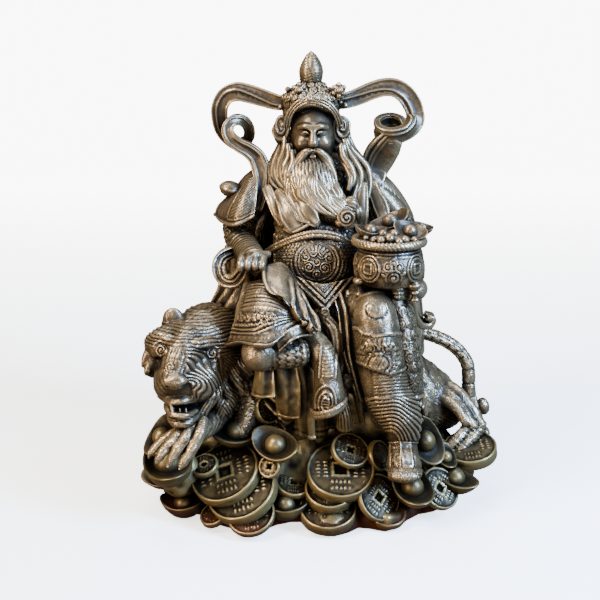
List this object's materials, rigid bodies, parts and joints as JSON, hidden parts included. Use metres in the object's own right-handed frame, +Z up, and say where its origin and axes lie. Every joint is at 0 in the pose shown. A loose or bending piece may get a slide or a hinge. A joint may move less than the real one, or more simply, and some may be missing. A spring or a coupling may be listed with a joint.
{
  "type": "caishen figure",
  "caption": "Cast bronze-coloured ornament of a bearded, robed god of wealth with a treasure bowl, seated on a crouching tiger over a mound of coins and ingots.",
  "frame": {"origin": "middle of the flat underside of the mound", "axes": "+Z up, the figure faces -Y, and +X is to the right of someone who looks at its front"},
  "size_m": [0.2105, 0.1752, 0.261],
  "materials": {
    "antique_bronze": "antique bronze: nearly black in the hollows, rubbed warm and glossy on the high points"
  },
  "bodies": {
    "root": {"wealth_god_casting": "antique_bronze"}
  },
  "joints": []
}
